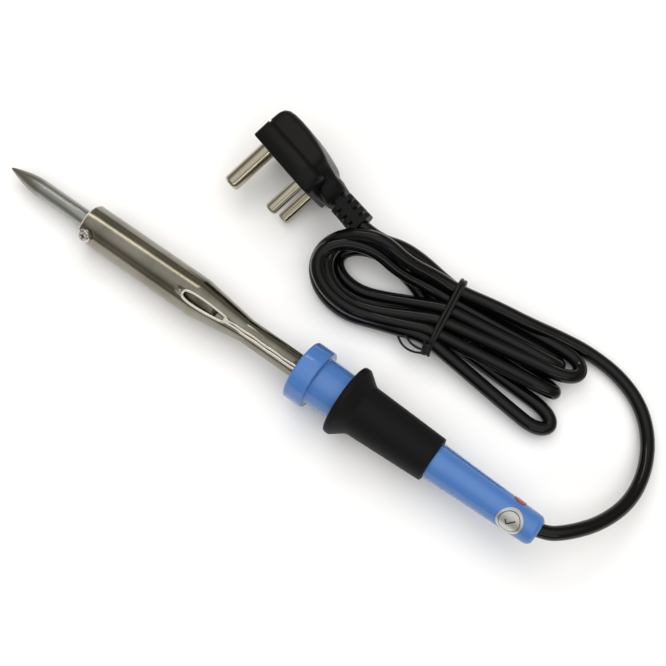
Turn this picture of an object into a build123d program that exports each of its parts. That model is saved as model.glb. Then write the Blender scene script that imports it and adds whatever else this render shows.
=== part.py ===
from build123d import *
import math
import os

os.makedirs("parts", exist_ok=True)

# Mains soldering iron with a slide-in copper bit, a sheathed heater, a plastic handle with a
# rubber grip, and a mains lead laid in a tied hank with its three-pin plug. Millimetres.
#
# "u" is the distance along the iron's axis from the point of the bit towards the cord.
# "roll" is the angle about that axis from straight up towards the -Y side, in degrees.

# ---- Driving dimensions
iron_length = 250.0
gap = 0.05                 # clearance between pieces that sit against each other

bit_radius = 3.6
shank_radius = 3.4         # the bit inside the barrel
bit_shoulder_u = 16.0      # end of the pointed part
bit_step_u = 41.0          # where the shank begins
bit_end_u = 98.0

barrel_front_u = 41.7
barrel_lip = 1.0           # radius of the rolled-in front lip
barrel_radius = 8.0
barrel_wall = 0.6
neck_radius = 4.85
neck_start_u = 119.0
neck_end_u = 176.0

screw_u = 45.7
screw_roll = 47.5
screw_radius = 1.45
screw_head_radius = 2.8

vent_start_u = 91.4
vent_end_u = 113.0
vent_half_width = 1.8
vent_roll = 24.0

collar_u = 144.8
collar_end_u = 153.1
collar_radius = 12.1
handle_front_radius = 9.6
handle_core_radius = 7.4   # under the grip
handle_rear_radius = 4.5
mouth_radius = 3.9         # bell mouth round the cord

grip_front_u = 164.85
grip_end_u = 205.3
flange_radius = 14.3
flange_edge = 1.5

lead_offset = 1.9          # heater leads either side of the axis
neck_screw_u = 171.0
tag_rivet_u = 172.5

cord_radius = 2.75
core_radius = 0.6

# ---- Rest pose: the iron lies on the barrel's lip and on the grip's flange
lip_u = barrel_front_u + barrel_lip
flange_u = grip_front_u + flange_edge
rise = (flange_radius - flange_edge) - (barrel_radius - barrel_lip)
run = flange_u - lip_u
tilt = math.atan2(rise, run) + math.asin((flange_edge - barrel_lip) / math.hypot(run, rise))
half_span = (iron_length * math.cos(tilt) + handle_rear_radius * math.sin(tilt)) / 2
lip_height = (barrel_radius - barrel_lip) * math.cos(tilt) + barrel_lip

along = Vector(math.cos(tilt), 0, math.sin(tilt))
upward = Vector(-math.sin(tilt), 0, math.cos(tilt))
sideways = Vector(0, -1, 0)
nose = Vector(-half_span, 0, lip_height - lip_u * math.sin(tilt))
side = Plane(origin=nose, x_dir=along, z_dir=sideways)
iron_axis = Axis(nose, along)


def outward(roll):
    """Unit vector square to the iron's axis, at a roll angle."""
    angle = math.radians(roll)
    return upward * math.cos(angle) + sideways * math.sin(angle)


def spot(u, roll, radius):
    """A point given by its place along the iron, its roll and its distance from the axis."""
    return nose + along * u + outward(roll) * radius


def facing(u, roll, radius):
    """A plane that faces outward from the iron's axis."""
    return Plane(origin=spot(u, roll, radius), x_dir=along, z_dir=outward(roll))


def station(u, roll=0, radius=0):
    """A plane across the iron, facing the cord end."""
    return Plane(origin=spot(u, roll, radius), x_dir=outward(roll), z_dir=along)


def ring(u_start, u_end, inner, outer, mode=Mode.ADD):
    """A plain ring about the iron's axis."""
    with BuildSketch(side) as section:
        with BuildLine():
            Polyline((u_start, inner), (u_end, inner), (u_end, outer), (u_start, outer), close=True)
        make_face()
    revolve(section.sketch, axis=iron_axis, mode=mode)


def rod(u_start, u_end, roll, offset, radius, mode=Mode.ADD):
    """A straight round rod parallel to the iron's axis."""
    with BuildSketch(station(u_start, roll, offset)) as section:
        Circle(radius)
    extrude(section.sketch, amount=u_end - u_start, mode=mode)


def pipe(u_start, u_end, roll, offset, inner, outer):
    """A straight tube parallel to the iron's axis."""
    with BuildSketch(station(u_start, roll, offset)) as section:
        Circle(outer)
        Circle(inner, mode=Mode.SUBTRACT)
    extrude(section.sketch, amount=u_end - u_start)


def stud(u, roll, low, high, radius, mode=Mode.ADD):
    """A round rod square to the iron's axis, between two distances from it."""
    with BuildSketch(facing(u, roll, low)) as section:
        Circle(radius)
    extrude(section.sketch, amount=high - low, mode=mode)


# ---- Bit: plated copper rod with a long rounded point
with BuildPart() as tip:
    with BuildSketch(side):
        with BuildLine():
            ThreePointArc((0, 0), (0.15, 0.33), (0.5, 0.52))
            ThreePointArc((0.5, 0.52), (7.7, 2.46), (bit_shoulder_u, bit_radius))
            Polyline(
                (bit_shoulder_u, bit_radius),
                (bit_step_u, bit_radius),
                (bit_step_u, shank_radius),
                (bit_end_u - 0.5, shank_radius),
                (bit_end_u, shank_radius - 0.5),
                (bit_end_u, 0),
                (0, 0),
            )
        make_face()
    revolve(axis=iron_axis)
tip.part.label = "tip"
export_step(tip.part, "parts/tip.step")

# ---- Bit clamp: threaded bush in the barrel's mouth, screw and spring washer
bush_front_u = 43.3
bush_step_u = 50.5
bush_end_u = 54.0
with BuildPart() as front_bush:
    ring(bush_front_u, bush_step_u, shank_radius + gap, barrel_radius - barrel_wall - 0.1)
    ring(bush_step_u, bush_end_u, shank_radius + gap, 5.2)
    stud(screw_u, screw_roll, 2.0, 9.0, screw_radius + 0.08, mode=Mode.SUBTRACT)
front_bush.part.label = "front_bush"
export_step(front_bush.part, "parts/front_bush.step")

washer_low = barrel_radius + 0.06
washer_high = washer_low + 0.5
with BuildPart() as tip_screw_washer:
    with BuildSketch(facing(screw_u, screw_roll, washer_low)):
        Circle(2.5)
        Circle(screw_radius + gap, mode=Mode.SUBTRACT)
        with Locations((-2, 0)):
            Rectangle(2.4, 0.4, mode=Mode.SUBTRACT)
    extrude(amount=washer_high - washer_low)
tip_screw_washer.part.label = "tip_screw_washer"
export_step(tip_screw_washer.part, "parts/tip_screw_washer.step")

head_low = washer_high + gap
head_high = head_low + 1.6
with BuildPart() as tip_screw:
    stud(screw_u, screw_roll, shank_radius + gap, head_low, screw_radius)
    stud(screw_u, screw_roll, head_low, head_high, screw_head_radius)
    fillet(tip_screw.edges().filter_by(GeomType.CIRCLE).sort_by(Axis(nose, outward(screw_roll)))[-1], 0.9)
    with BuildSketch(facing(screw_u, screw_roll, head_high)):
        Rectangle(2.9, 0.6)
        Rectangle(0.6, 2.9)
    extrude(amount=-1.0, taper=12, mode=Mode.SUBTRACT)
tip_screw.part.label = "tip_screw"
export_step(tip_screw.part, "parts/tip_screw.step")

# ---- Barrel: rolled steel tube, lip turned in, necked down to a thin tail in the handle
inner_radius = barrel_radius - barrel_wall
shoulder_u = 96.0
with BuildPart() as barrel:
    with BuildSketch(side):
        with BuildLine():
            ThreePointArc(
                (barrel_front_u, barrel_radius - barrel_lip),
                (lip_u - barrel_lip * math.sqrt(0.5), barrel_radius - barrel_lip * (1 - math.sqrt(0.5))),
                (lip_u, barrel_radius),
            )
            Polyline(
                (lip_u, barrel_radius),
                (shoulder_u, barrel_radius + 0.1),
                (neck_start_u, neck_radius),
                (neck_end_u, neck_radius),
                (neck_end_u, neck_radius - barrel_wall),
                (neck_start_u - 0.1, neck_radius - barrel_wall),
                (shoulder_u - 0.1, inner_radius + 0.1),
                (lip_u, inner_radius),
            )
            ThreePointArc(
                (lip_u, inner_radius),
                (lip_u - 0.4 * math.sqrt(0.5), inner_radius - 0.4 * (1 - math.sqrt(0.5))),
                (lip_u - 0.4, inner_radius - 0.4),
            )
            Polyline(
                (lip_u - 0.4, inner_radius - 0.4),
                (lip_u - 0.4, inner_radius - 0.8),
                (barrel_front_u, inner_radius - 0.8),
                (barrel_front_u, barrel_radius - barrel_lip),
            )
        make_face()
    revolve(axis=iron_axis)
    # Vent slot on the shoulder, and the open seam from it to the tail
    with BuildSketch(facing(vent_start_u, vent_roll, neck_radius / 2)):
        with Locations((vent_half_width, 0)):
            Circle(vent_half_width)
        with Locations((vent_end_u - vent_start_u - 0.4, 0)):
            Circle(0.4)
        make_hull()
    extrude(amount=barrel_radius, mode=Mode.SUBTRACT)
    with BuildSketch(facing(vent_end_u - 1, vent_roll, neck_radius / 2)):
        with Locations(((neck_end_u - vent_end_u) / 2 + 2, 0)):
            Rectangle(neck_end_u - vent_end_u + 4, 0.25)
    extrude(amount=barrel_radius, mode=Mode.SUBTRACT)
    stud(screw_u, screw_roll, 5.0, 9.0, screw_radius + 0.15, mode=Mode.SUBTRACT)
    for roll in (90, 270):
        stud(neck_screw_u, roll, 3.0, 6.0, 1.2 + gap, mode=Mode.SUBTRACT)
    stud(tag_rivet_u, 180, 3.0, 6.0, 0.85 + gap, mode=Mode.SUBTRACT)
barrel.part.label = "barrel"
export_step(barrel.part, "parts/barrel.step")

# ---- Heater: former, mica, winding, mica, steel sheath, rear insulator
coil_start_u = 55.0
coil_end_u = 94.4
with BuildPart() as element_former:
    ring(coil_start_u - 0.4, coil_end_u + 0.4, 3.75, 4.3)
element_former.part.label = "element_former"
export_step(element_former.part, "parts/element_former.step")

with BuildPart() as element_mica_inner:
    ring(coil_start_u, coil_end_u, 4.36, 4.5)
element_mica_inner.part.label = "element_mica_inner"
export_step(element_mica_inner.part, "parts/element_mica_inner.step")

ribbon_width = 1.3
ribbon_pitch = 2.4
with BuildPart() as heater_winding:
    for turn in range(16):
        turn_u = coil_start_u + 1.0 + turn * ribbon_pitch
        ring(turn_u, turn_u + ribbon_width, 4.56, 4.8)
heater_winding.part.label = "heater_winding"
export_step(heater_winding.part, "parts/heater_winding.step")

with BuildPart() as element_mica_outer:
    ring(coil_start_u, coil_end_u, 4.86, 5.1)
element_mica_outer.part.label = "element_mica_outer"
export_step(element_mica_outer.part, "parts/element_mica_outer.step")

with BuildPart() as element_sheath:
    ring(bush_step_u + gap, 104.8, 5.25, 5.7)
element_sheath.part.label = "element_sheath"
export_step(element_sheath.part, "parts/element_sheath.step")

with BuildPart() as element_rear_insulator:
    ring(100.6, 104.4, 0, 5.2)
    for roll in (90, 270):
        rod(100, 105, roll, lead_offset, 0.42, mode=Mode.SUBTRACT)
element_rear_insulator.part.label = "element_rear_insulator"
export_step(element_rear_insulator.part, "parts/element_rear_insulator.step")


# ---- Heater leads with their ceramic beads
def heater_lead(roll):
    """A bare lead from the winding's end, in behind the bit, then along the barrel's neck."""
    with BuildPart() as lead:
        with BuildLine():
            FilletPolyline(
                spot(coil_end_u + 0.3, roll, 4.76),
                spot(99.3, roll, 4.76),
                spot(99.3, roll, lead_offset),
                spot(187, roll, lead_offset),
                radius=0.7,
            )
        with BuildSketch(station(coil_end_u + 0.3, roll, 4.76)):
            Circle(0.35)
        sweep()
    return lead


heater_lead_live = heater_lead(270)
heater_lead_live.part.label = "heater_lead_live"
export_step(heater_lead_live.part, "parts/heater_lead_live.step")

heater_lead_neutral = heater_lead(90)
heater_lead_neutral.part.label = "heater_lead_neutral"
export_step(heater_lead_neutral.part, "parts/heater_lead_neutral.step")

bead_length = 4.1
bead_pitch = 4.5
with BuildPart() as lead_beads:
    for roll in (90, 270):
        for bead in range(16):
            bead_u = 106.0 + bead * bead_pitch
            pipe(bead_u, bead_u + bead_length, roll, lead_offset, 0.5, 1.6)
lead_beads.part.label = "lead_beads"
export_step(lead_beads.part, "parts/lead_beads.step")

# ---- Neck joint: insulating sleeve, two screws hidden under the grip, earth tag and rivet
bore_radius = 6.0
with BuildPart() as neck_sleeve:
    ring(collar_u + 0.6, neck_end_u + 2, neck_radius + gap, bore_radius - gap)
    for roll in (90, 270):
        stud(neck_screw_u, roll, 4.0, 7.0, 1.2 + gap, mode=Mode.SUBTRACT)
neck_sleeve.part.label = "neck_sleeve"
export_step(neck_sleeve.part, "parts/neck_sleeve.step")

with BuildPart() as neck_screws:
    for roll in (90, 270):
        stud(neck_screw_u, roll, 4.0, 6.3, 1.2)
        stud(neck_screw_u, roll, 6.3, 6.9, 2.1)
neck_screws.part.label = "neck_screws"
export_step(neck_screws.part, "parts/neck_screws.step")

with BuildPart() as earth_tag:
    with BuildSketch(facing(167.5, 180, 3.3)):
        with Locations((7, 0)):
            Rectangle(14, 2.8)
        with Locations((tag_rivet_u - 167.5, 0)):
            Circle(0.85 + gap, mode=Mode.SUBTRACT)
    extrude(amount=0.55)
    pipe(181.2, 186.2, 180, 3.85, 0.65, 1.0)
earth_tag.part.label = "earth_tag"
export_step(earth_tag.part, "parts/earth_tag.step")

with BuildPart() as earth_rivet:
    stud(tag_rivet_u, 180, 2.7, 3.25, 1.4)
    stud(tag_rivet_u, 180, 3.25, neck_radius - 0.02, 0.85)
earth_rivet.part.label = "earth_rivet"
export_step(earth_rivet.part, "parts/earth_rivet.step")

# ---- Handle: one moulding with a front collar, a narrower core under the grip, a tapered tail
tail_front_radius = 6.75
tail_front_u = 222.0
tail_end_u = 247.0
tail_slope = -0.026


def tail_radius(u):
    """The handle's outer radius on its straight tapering tail."""
    return tail_front_radius + tail_slope * (u - tail_front_u)


with BuildPart() as handle_shell:
    with BuildSketch(side):
        with BuildLine():
            Polyline(
                (collar_u, bore_radius),
                (collar_u, collar_radius),
                (collar_end_u, collar_radius),
                (collar_end_u, handle_front_radius + 0.05),
                (grip_front_u - gap, handle_front_radius - 0.1),
                (grip_front_u - gap, handle_core_radius),
                (grip_end_u, handle_core_radius),
                (tail_front_u, tail_front_radius),
                (tail_end_u, tail_radius(tail_end_u)),
                (iron_length, handle_rear_radius),
                (iron_length, mouth_radius),
                (iron_length - 7, cord_radius + 0.1),
                (236, cord_radius + 0.1),
                (236, 5.0),
                (190, 5.0),
                (190, bore_radius),
                close=True,
            )
        make_face()
    revolve(axis=iron_axis)
    for roll in (90, 270):
        stud(neck_screw_u, roll, 5.0, 9.0, 1.2 + gap, mode=Mode.SUBTRACT)
        stud(neck_screw_u, roll, 6.3 - gap, 9.0, 2.1 + gap, mode=Mode.SUBTRACT)
    circles = handle_shell.edges().filter_by(GeomType.CIRCLE)
    fillet(circles.filter_by(lambda edge: abs(edge.radius - collar_radius) < 0.01), 1.1)
    fillet(circles.filter_by(lambda edge: abs(edge.radius - tail_radius(tail_end_u)) < 0.01), 2.0)
handle_shell.part.label = "handle_shell"
export_step(handle_shell.part, "parts/handle_shell.step")

# ---- Grip: rubber sleeve with a flared front flange
with BuildPart() as grip_sleeve:
    grip_bore = handle_core_radius + gap
    with BuildSketch(side):
        with BuildLine():
            ThreePointArc(
                (grip_front_u, flange_radius - flange_edge),
                (flange_u - flange_edge * math.sqrt(0.5), flange_radius - flange_edge * (1 - math.sqrt(0.5))),
                (flange_u, flange_radius),
            )
            ThreePointArc((flange_u, flange_radius), (flange_u + 0.75, 14.05), (flange_u + 1.3, 13.45))
            ThreePointArc((flange_u + 1.3, 13.45), (169.3, 11.7), (172.6, 10.35))
            Line((172.6, 10.35), (grip_end_u - 0.7, 8.97))
            ThreePointArc((grip_end_u - 0.7, 8.97), (grip_end_u - 0.2, 8.75), (grip_end_u, 8.25))
            Polyline(
                (grip_end_u, 8.25),
                (grip_end_u, grip_bore),
                (grip_front_u, grip_bore),
                (grip_front_u, flange_radius - flange_edge),
            )
        make_face()
    revolve(axis=iron_axis)
grip_sleeve.part.label = "grip_sleeve"
export_step(grip_sleeve.part, "parts/grip_sleeve.step")

# ---- Splices: crimp barrels on the two heater leads, each under an insulating sleeve
with BuildPart() as crimp_splice_live:
    pipe(184, 192, 270, lead_offset, 0.75, 1.3)
crimp_splice_live.part.label = "crimp_splice_live"
export_step(crimp_splice_live.part, "parts/crimp_splice_live.step")

with BuildPart() as crimp_splice_neutral:
    pipe(184, 192, 90, lead_offset, 0.75, 1.3)
crimp_splice_neutral.part.label = "crimp_splice_neutral"
export_step(crimp_splice_neutral.part, "parts/crimp_splice_neutral.step")

with BuildPart() as splice_sleeve_live:
    pipe(181, 195, 270, lead_offset, 1.38, 1.8)
splice_sleeve_live.part.label = "splice_sleeve_live"
export_step(splice_sleeve_live.part, "parts/splice_sleeve_live.step")

with BuildPart() as splice_sleeve_neutral:
    pipe(181, 195, 90, lead_offset, 1.38, 1.8)
splice_sleeve_neutral.part.label = "splice_sleeve_neutral"
export_step(splice_sleeve_neutral.part, "parts/splice_sleeve_neutral.step")

# ---- Mains cores from the cord's end to the splices and the earth tag
jacket_end_u = 222.0


def mains_core(front_u, front_roll, front_offset, rear_roll):
    """One insulated core, from its joint back to the cut end of the cord's jacket."""
    with BuildPart() as core:
        with BuildLine():
            FilletPolyline(
                spot(front_u, front_roll, front_offset),
                spot(front_u + 9, front_roll, front_offset),
                spot(jacket_end_u - 7, rear_roll, 1.2),
                spot(jacket_end_u - gap, rear_roll, 1.2),
                radius=15,
            )
        with BuildSketch(station(front_u, front_roll, front_offset)):
            Circle(core_radius)
        sweep()
    return core


mains_core_live = mains_core(188, 270, lead_offset, 300)
mains_core_live.part.label = "mains_core_live"
export_step(mains_core_live.part, "parts/mains_core_live.step")

mains_core_neutral = mains_core(188, 90, lead_offset, 60)
mains_core_neutral.part.label = "mains_core_neutral"
export_step(mains_core_neutral.part, "parts/mains_core_neutral.step")

mains_core_earth = mains_core(182, 180, 3.85, 180)
mains_core_earth.part.label = "mains_core_earth"
export_step(mains_core_earth.part, "parts/mains_core_earth.step")

# ---- Cord clamp inside the handle's tail, and the stretch of cord that it holds
mouth_u = 243.0
with BuildPart() as cord_clip:
    ring(226.5, 232.5, cord_radius + gap, 4.95)
    stud(229.5, 180, 1.0, 6.0, 0.95, mode=Mode.SUBTRACT)
cord_clip.part.label = "cord_clip"
export_step(cord_clip.part, "parts/cord_clip.step")

with BuildPart() as cord_clip_screw:
    stud(229.5, 180, cord_radius + gap, 4.85, 0.9)
cord_clip_screw.part.label = "cord_clip_screw"
export_step(cord_clip_screw.part, "parts/cord_clip_screw.step")

with BuildPart() as cord_inner_end:
    rod(jacket_end_u, mouth_u, 0, 0, cord_radius)
cord_inner_end.part.label = "cord_inner_end"
export_step(cord_inner_end.part, "parts/cord_inner_end.step")


# ---- Stickers on the handle's tail
def sticker(u, roll, radius, reach):
    """A thin round patch that follows the handle's tail."""
    near, far = u - reach, u + reach
    with BuildPart() as patch:
        with BuildSketch(side) as skin:
            with BuildLine():
                Polyline(
                    (near, tail_radius(near) + 0.02),
                    (far, tail_radius(far) + 0.02),
                    (far, tail_radius(far) + 0.17),
                    (near, tail_radius(near) + 0.17),
                    close=True,
                )
            make_face()
        revolve(skin.sketch, axis=iron_axis)
        stud(u, roll, 1.0, 9.0, radius, mode=Mode.INTERSECT)
    return patch


round_label = sticker(239.3, 35, 5.0, 5.4)
round_label.part.label = "round_label"
export_step(round_label.part, "parts/round_label.step")

red_dot = sticker(238.6, -62, 2.4, 3.0)
red_dot.part.label = "red_dot"
export_step(red_dot.part, "parts/red_dot.step")

# ---- Plug, lying on its side: it leans on the edge of its pin face and on the lower pin
pin_pitch = 19.05          # live to neutral
earth_distance = 22.2      # earth pin to the line through the other two
earth_pin_radius, earth_pin_length = 3.53, 20.6
line_pin_radius, line_pin_length = 2.54, 14.9
pin_root = 0.85            # the pins' radius inside the base, as a share of their own
plug_half_width = 16.2
plug_lean = math.atan2(plug_half_width - pin_pitch / 2 - line_pin_radius, line_pin_length)
plug_heading = math.radians(165.5)     # from the line pins to the earth pin, seen from above
plug_height = plug_half_width * math.cos(plug_lean)
plug_point = Vector(-21.6, 58.1, plug_height)
to_cord = Vector(-math.cos(plug_heading), -math.sin(plug_heading), 0)
flat_pin = Vector(-math.sin(plug_heading), math.cos(plug_heading), 0)
pin_way = flat_pin * math.cos(plug_lean) - Vector(0, 0, 1) * math.sin(plug_lean)
cord_centre = 7.6          # depth of the cord's axis behind the pin face
base_depth = 8.5
pocket_inset = 3.0         # wall round the hollow that holds the pins' tails and the cores


def plug_plane(depth):
    """Parallel to the pin face, behind it by depth. Its x runs to the cord and its y up."""
    return Plane(origin=plug_point - pin_way * depth, x_dir=to_cord, z_dir=pin_way)


def plug_outline(inset):
    """The plug seen from its pins: narrow at the earth end, wide at the cord end."""
    with BuildSketch(Plane.XY, mode=Mode.PRIVATE) as outline:
        with BuildLine():
            Polyline(
                (-27 + inset, -11 + inset),
                (-1, -plug_half_width + inset),
                (8 - inset, -plug_half_width + inset),
                (8 - inset, plug_half_width - inset),
                (-1, plug_half_width - inset),
                (-27 + inset, 11 - inset),
                close=True,
            )
        make_face()
        fillet(outline.vertices().group_by(Axis.X)[0], 2.5)
        fillet(outline.vertices().group_by(Axis.X)[-1], 5.5 - inset)
    return outline.sketch


with BuildPart() as plug_base:
    with BuildSketch(plug_plane(base_depth)):
        add(plug_outline(0))
    extrude(amount=base_depth)
    with BuildSketch(plug_plane(base_depth)):
        add(plug_outline(pocket_inset))
        with Locations((6.5, 0)):
            Rectangle(6, 11)
    extrude(amount=3.0, mode=Mode.SUBTRACT)
    with BuildSketch(plug_plane(base_depth)):
        with Locations((-earth_distance, 0)):
            Circle(earth_pin_radius * pin_root + gap)
        with Locations((0, pin_pitch / 2), (0, -pin_pitch / 2)):
            Circle(line_pin_radius * pin_root + gap)
    extrude(amount=base_depth, mode=Mode.SUBTRACT)
plug_base.part.label = "plug_base"
export_step(plug_base.part, "parts/plug_base.step")

with BuildPart() as plug_cover:
    with BuildSketch(plug_plane(base_depth + gap)):
        add(plug_outline(0.7))
    extrude(amount=-7.0, taper=14)
    fillet(plug_cover.faces().sort_by(Axis(plug_point, pin_way))[0].edges(), 2.2)
    with BuildSketch(plug_plane(base_depth)):
        add(plug_outline(pocket_inset))
        with Locations((6.5, 0)):
            Rectangle(6, 11)
    extrude(amount=-3.5, mode=Mode.SUBTRACT)
plug_cover.part.label = "plug_cover"
export_step(plug_cover.part, "parts/plug_cover.step")


def plug_pin(place, radius, length):
    """A solid pin with a rounded end, a thinner root in the base and a thin tail."""
    with BuildPart() as pin:
        with BuildSketch(plug_plane(-gap)):
            with Locations(place):
                Circle(radius)
        extrude(amount=length - gap)
        fillet(pin.edges().sort_by(Axis(plug_point, pin_way))[-1], radius * 0.45)
        with BuildSketch(plug_plane(7.4)):
            with Locations(place):
                Circle(radius * pin_root)
        extrude(amount=7.4 + gap)
        with BuildSketch(plug_plane(7.4)):
            with Locations(place):
                Circle(1.3)
        extrude(amount=-3.0)
    return pin


plug_pin_earth = plug_pin((-earth_distance, 0), earth_pin_radius, earth_pin_length)
plug_pin_earth.part.label = "plug_pin_earth"
export_step(plug_pin_earth.part, "parts/plug_pin_earth.step")

plug_pin_live = plug_pin((0, pin_pitch / 2), line_pin_radius, line_pin_length)
plug_pin_live.part.label = "plug_pin_live"
export_step(plug_pin_live.part, "parts/plug_pin_live.step")

plug_pin_neutral = plug_pin((0, -pin_pitch / 2), line_pin_radius, line_pin_length)
plug_pin_neutral.part.label = "plug_pin_neutral"
export_step(plug_pin_neutral.part, "parts/plug_pin_neutral.step")


def in_plug(x, y, depth):
    """A point in the plug: towards the cord, up, and behind the pin face."""
    plane = plug_plane(depth)
    return plane.origin + plane.x_dir * x + plane.y_dir * y


# Three cores from the cord's end to the pins' tails
with BuildPart() as plug_cores:
    for x, y, start in ((-earth_distance, 0, 0.0), (0, pin_pitch / 2, 1.3), (0, -pin_pitch / 2, -1.3)):
        reach = Vector(8.4 - x - 1.5, start - y, 0)
        core_way = to_cord * reach.X + plug_plane(0).y_dir * reach.Y
        core_way = core_way.normalized()
        core_start = in_plug(x, y, 9.2) + core_way * 1.5
        with BuildSketch(Plane(origin=core_start, z_dir=core_way)) as core_section:
            Circle(0.55)
        extrude(core_section.sketch, amount=reach.length - 1.5)
plug_cores.part.label = "plug_cores"
export_step(plug_cores.part, "parts/plug_cores.step")

# Ribbed strain relief: a core, four ribs across it and a spine along each side
relief_start = 8.0 + gap
relief_end = 26.5


def relief_plane(x):
    """Across the strain relief. Its x points to the pin face side and its y up."""
    return Plane(origin=in_plug(x, 0, cord_centre), x_dir=pin_way, z_dir=to_cord)


with BuildPart() as plug_strain_relief:
    with BuildSketch(relief_plane(relief_start)):
        RectangleRounded(11.6, 12.5, 3)
    with BuildSketch(relief_plane(relief_start + 4.5)):
        RectangleRounded(10.0, 8.4, 3)
    loft()
    with BuildSketch(relief_plane(relief_start + 4.5)):
        Circle(3.5)
        Rectangle(3.2, 8.0)
    extrude(amount=relief_end - relief_start - 4.5)
    for rib in range(4):
        with BuildSketch(relief_plane(relief_end - 2.0 - 3.3 * rib)):
            RectangleRounded(10.6 - 0.1 * rib, 7.6, 2.4)
        extrude(amount=2.0)
plug_strain_relief.part.label = "plug_strain_relief"
export_step(plug_strain_relief.part, "parts/plug_strain_relief.step")


# ---- Mains cord: a free stretch, the tied hank and a short tail to the plug
def corner_radii(route):
    """The largest arc that each corner's two runs allow, and a line of print for each."""
    radii = []
    for before, corner, after in zip(route, route[1:], route[2:]):
        arriving, leaving = corner - before, after - corner
        turn = math.radians(arriving.get_angle(leaving))
        radius = 0.45 * min(arriving.length, leaving.length) / math.tan(turn / 2)
        print("turn", round(math.degrees(turn), 1), "radius", round(radius, 1))
        radii.append(radius)
    return radii


mouth = spot(mouth_u, 0, 0)
lead_route = [
    mouth,
    Vector(126.0, 0.4, 18.7),
    Vector(134.5, 5.8, 17.8),
    Vector(143.2, 16.6, 14.2),
    Vector(148.0, 30.5, 10.0),
    Vector(146.8, 44.6, 6.4),
    Vector(141.2, 57.2, 3.8),
    Vector(131.6, 66.6, 2.9),
    Vector(118.8, 71.4, 2.8),
    Vector(104.5, 72.2, 2.8),
    Vector(91.5, 70.0, 4.2),
    Vector(80.0, 66.5, 6.4),
]
relief_mouth = in_plug(relief_end, 0, cord_centre)
tail_route = [
    Vector(46.0, 62.4, 8.6),
    Vector(35.0, 61.8, 12.4),
    Vector(24.6, 58.9, 16.2),
    relief_mouth + to_cord * 9,
    relief_mouth,
]

with BuildPart() as cord_lead:
    with BuildLine() as lead_path:
        FilletPolyline(*lead_route, radius=corner_radii(lead_route))
    with BuildSketch(Plane(origin=lead_path.line @ 0, z_dir=lead_path.line % 0)):
        Circle(cord_radius)
    sweep()
lead_length = lead_path.wire().length
lead_volume = lead_length * math.pi * cord_radius**2
print("lead", round(lead_length, 1), "volume ratio", round(cord_lead.part.volume / lead_volume, 4))
cord_lead.part.label = "cord_lead"
export_step(cord_lead.part, "parts/cord_lead.step")

with BuildPart() as cord_tail:
    with BuildLine() as tail_path:
        FilletPolyline(*tail_route, radius=corner_radii(tail_route))
    with BuildSketch(Plane(origin=tail_path.line @ 0, z_dir=tail_path.line % 0)):
        Circle(cord_radius)
    sweep()
tail_length = tail_path.wire().length
tail_volume = tail_length * math.pi * cord_radius**2
print("tail", round(tail_length, 1), "volume ratio", round(cord_tail.part.volume / tail_volume, 4))
cord_tail.part.label = "cord_tail"
export_step(cord_tail.part, "parts/cord_tail.step")

# The hank's outer shape: a broad lobe of loops, a tied waist and a fanned lobe
waist_x = 50.0
waist_low_y, waist_high_y = 38.8, 61.6
waist_round = 4.8
hank_height = 11.6
tie_width = 2.4
tie_thickness = 1.1
with BuildPart() as cord_hank:
    with BuildSketch():
        with Locations((15, 47)):
            Circle(21)
        with Locations((waist_x, waist_low_y), (waist_x, waist_high_y)):
            Circle(waist_round)
        make_hull()
    with BuildSketch():
        with Locations((waist_x, waist_low_y), (waist_x, waist_high_y)):
            Circle(waist_round)
        with Locations((101, 40.2), (98.8, 61.8)):
            Circle(5.2)
        make_hull()
    extrude(amount=hank_height)
    fillet(cord_hank.edges().group_by(Axis.Z)[-1], 2.5)
    with BuildSketch(Plane.YZ.offset(waist_x)):
        with Locations(((waist_low_y + waist_high_y) / 2, hank_height / 2)):
            Rectangle(60, 20)
            RectangleRounded(
                waist_high_y - waist_low_y + 2 * (waist_round - tie_thickness - gap),
                hank_height - 2 * (tie_thickness + gap),
                3,
                mode=Mode.SUBTRACT,
            )
    extrude(amount=tie_width / 2 + gap, both=True, mode=Mode.SUBTRACT)
cord_hank.part.label = "cord_hank"
export_step(cord_hank.part, "parts/cord_hank.step")

with BuildPart() as hank_tie:
    with BuildSketch(Plane.YZ.offset(waist_x)):
        with Locations(((waist_low_y + waist_high_y) / 2, hank_height / 2)):
            RectangleRounded(waist_high_y - waist_low_y + 2 * waist_round, hank_height, 4)
            RectangleRounded(
                waist_high_y - waist_low_y + 2 * (waist_round - tie_thickness),
                hank_height - 2 * tie_thickness,
                3,
                mode=Mode.SUBTRACT,
            )
    extrude(amount=tie_width / 2, both=True)
hank_tie.part.label = "hank_tie"
export_step(hank_tie.part, "parts/hank_tie.step")
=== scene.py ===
import math
from collections import namedtuple

import bpy
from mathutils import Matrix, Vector


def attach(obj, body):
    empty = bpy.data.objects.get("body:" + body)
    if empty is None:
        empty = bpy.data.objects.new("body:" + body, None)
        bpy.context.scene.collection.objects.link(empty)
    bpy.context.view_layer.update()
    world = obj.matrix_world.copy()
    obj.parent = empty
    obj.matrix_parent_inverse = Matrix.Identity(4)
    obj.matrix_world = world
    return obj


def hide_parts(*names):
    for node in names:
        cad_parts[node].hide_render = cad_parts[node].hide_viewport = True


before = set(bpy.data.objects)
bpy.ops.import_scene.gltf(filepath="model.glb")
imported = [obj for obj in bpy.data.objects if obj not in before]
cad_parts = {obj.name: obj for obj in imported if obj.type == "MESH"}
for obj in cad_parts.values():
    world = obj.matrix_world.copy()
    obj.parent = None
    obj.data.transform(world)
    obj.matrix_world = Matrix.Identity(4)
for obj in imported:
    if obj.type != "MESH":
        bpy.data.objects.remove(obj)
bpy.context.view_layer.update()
MM = 0.001

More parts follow.
